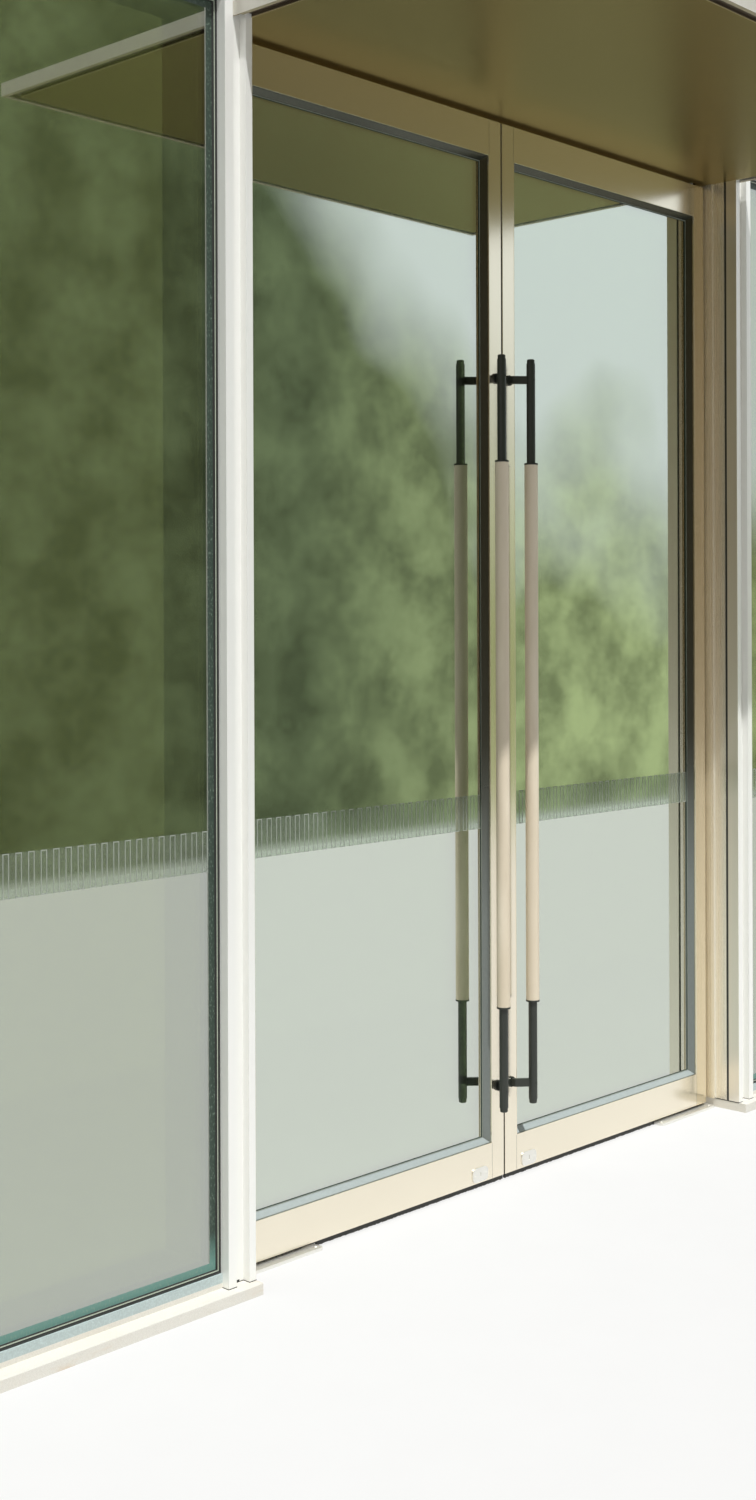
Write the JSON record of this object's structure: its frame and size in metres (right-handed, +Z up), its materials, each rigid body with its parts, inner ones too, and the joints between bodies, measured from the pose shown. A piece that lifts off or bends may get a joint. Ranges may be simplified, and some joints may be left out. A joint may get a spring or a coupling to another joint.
{
  "type": "glass entrance door",
  "caption": "Pair of framed glass leaves on floor closers in a metal portal with a shallow canopy and a fixed glazed bay on each side.",
  "frame": {"origin": "on the underside of the left plinth, on the left mullion's centre line and in the middle plane of the leaves", "axes": "+X along the facade to the right as seen from the street, -Y towards the street, +Z up"},
  "size_m": [4.788, 1.1274, 3.2],
  "materials": {
    "leaf_metal": "champagne anodised, brushed",
    "bronze_metal": "champagne anodised, satin",
    "soffit_metal": "bronze anodised, brushed",
    "grey_metal": "satin",
    "tinted_glass": "clear, green tint",
    "black_rubber": "matt",
    "plinth_stone": "honed",
    "steel": "brushed",
    "black_metal": "black powder coat",
    "grip_leather": "smooth, taupe"
  },
  "bodies": {
    "root": {"canopy_shell": "bronze_metal", "canopy_soffit": "soffit_metal", "end_mullion_left": "bronze_metal", "end_mullion_right": "bronze_metal", "floor_closer_left": "steel", "floor_closer_right": "steel", "head_beam": "bronze_metal", "head_transom_left": "bronze_metal", "head_transom_right": "bronze_metal", "jamb_left": "bronze_metal", "jamb_right": "bronze_metal", "mullion_left": "bronze_metal", "mullion_right": "bronze_metal", "plinth_left": "plinth_stone", "plinth_right": "plinth_stone", "side_gasket_left": "black_rubber", "side_gasket_right": "black_rubber", "side_glass_left": "tinted_glass", "side_glass_right": "tinted_glass", "sill_channel_left": "grey_metal", "sill_channel_right": "grey_metal", "top_pivot_left": "steel", "top_pivot_right": "steel"},
    "leaf_left": {"hinge_stile_left": "leaf_metal", "meeting_stile_left": "leaf_metal", "top_rail_left": "leaf_metal", "bottom_rail_left": "leaf_metal", "leaf_glass_left": "tinted_glass", "leaf_gasket_left": "black_rubber", "floor_lock_left": "steel", "outer_pull_left": "black_metal", "inner_pull_left": "black_metal", "outer_grip_left": "grip_leather", "inner_grip_left": "grip_leather"},
    "leaf_right": {"hinge_stile_right": "leaf_metal", "meeting_stile_right": "leaf_metal", "top_rail_right": "leaf_metal", "bottom_rail_right": "leaf_metal", "leaf_glass_right": "tinted_glass", "leaf_gasket_right": "black_rubber", "floor_lock_right": "steel", "outer_pull_right": "black_metal", "inner_pull_right": "black_metal", "outer_grip_right": "grip_leather", "inner_grip_right": "grip_leather"}
  },
  "joints": [
    {"name": "leaf_left_hinge", "type": "hinge", "parent": "root", "child": "leaf_left", "pos_m": [0.0995, 0, 1.5], "axis": [0, 0, 1], "range_deg": [-90, 90], "stiffness_Nm_per_rad": 15},
    {"name": "leaf_right_hinge", "type": "hinge", "parent": "root", "child": "leaf_right", "pos_m": [2.1275, 0, 1.5], "axis": [0, 0, 1], "range_deg": [-90, 90], "stiffness_Nm_per_rad": 15}
  ]
}
